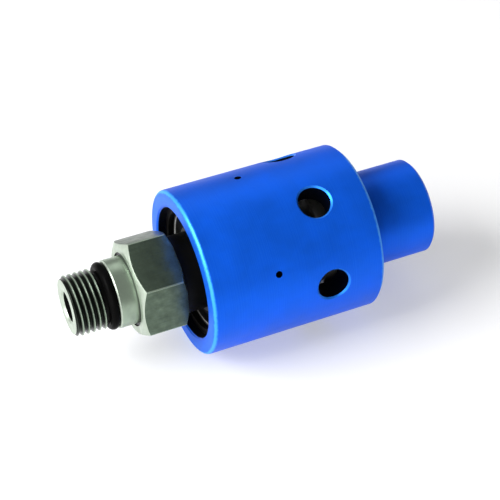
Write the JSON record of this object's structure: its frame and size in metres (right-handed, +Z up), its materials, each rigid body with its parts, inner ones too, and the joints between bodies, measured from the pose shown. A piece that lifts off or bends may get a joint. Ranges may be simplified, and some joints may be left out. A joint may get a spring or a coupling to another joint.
{
  "type": "rotary union",
  "caption": "Straight hydraulic rotary union: a round vented housing with a threaded hose port turns on a male-threaded rotor with a pilot, O-ring and spanner hexagon.",
  "frame": {"origin": "on the axis of rotation, in the rotor's seating face, which is the hexagon's face towards the spindle", "axes": "+X along the axis, from the rotor's thread to the hose port; +Z up as it lies on its side"},
  "size_m": [0.0984, 0.044, 0.044],
  "materials": {
    "blue_anodised": "satin",
    "stainless": "satin",
    "bearing_steel": "polished",
    "black_steel": "satin",
    "spring_steel": "satin",
    "black_rubber": "satin",
    "cage_plastic": "matte",
    "backup_plastic": "satin",
    "seal_ceramic": "satin"
  },
  "bodies": {
    "housing": {"housing": "blue_anodised", "housing_retaining_ring": "black_steel", "bearing_spacer_outer": "spring_steel", "wave_spring": "spring_steel", "drive_pins": "spring_steel", "seal_spring": "spring_steel", "front_bearing_outer_ring": "bearing_steel", "front_bearing_front_seal": "black_rubber", "front_bearing_rear_seal": "black_rubber", "rear_bearing_outer_ring": "bearing_steel", "rear_bearing_front_seal": "black_rubber", "rear_bearing_rear_seal": "black_rubber"},
    "rotor": {"rotor": "stainless", "rotor_o_ring": "black_rubber", "bearing_spacer_inner": "spring_steel", "rotor_retaining_ring": "black_steel", "slinger": "stainless", "rotating_seal_ring": "seal_ceramic", "front_bearing_inner_ring": "bearing_steel", "rear_bearing_inner_ring": "bearing_steel"},
    "front_cage": {"front_bearing_cage": "cage_plastic", "front_bearing_balls": "bearing_steel"},
    "rear_cage": {"rear_bearing_cage": "cage_plastic", "rear_bearing_balls": "bearing_steel"},
    "floating_seal": {"seal_carrier": "stainless", "stationary_seal_ring": "seal_ceramic", "carrier_o_ring": "black_rubber", "carrier_backup_ring": "backup_plastic"}
  },
  "joints": [
    {"name": "housing_spin", "type": "hinge", "parent": "rotor", "child": "housing", "pos_m": [0.031, 0, 0], "axis": [1, 0, 0], "continuous": true},
    {"name": "front_cage_spin", "type": "hinge", "parent": "rotor", "child": "front_cage", "pos_m": [0.0231, 0, 0], "axis": [1, 0, 0], "continuous": true},
    {"name": "rear_cage_spin", "type": "hinge", "parent": "rotor", "child": "rear_cage", "pos_m": [0.0388, 0, 0], "axis": [1, 0, 0], "continuous": true},
    {"name": "seal_float", "type": "slide", "parent": "housing", "child": "floating_seal", "axis": [1, 0, 0], "range_m": [0, 0.0012], "stiffness_N_per_m": 1500, "springref_m": -0.006, "deforming": ["seal_spring"]}
  ],
  "couplings": [
    {"joint": "front_cage_spin", "follows": "housing_spin", "ratio": 0.5916},
    {"joint": "rear_cage_spin", "follows": "housing_spin", "ratio": 0.5916}
  ]
}
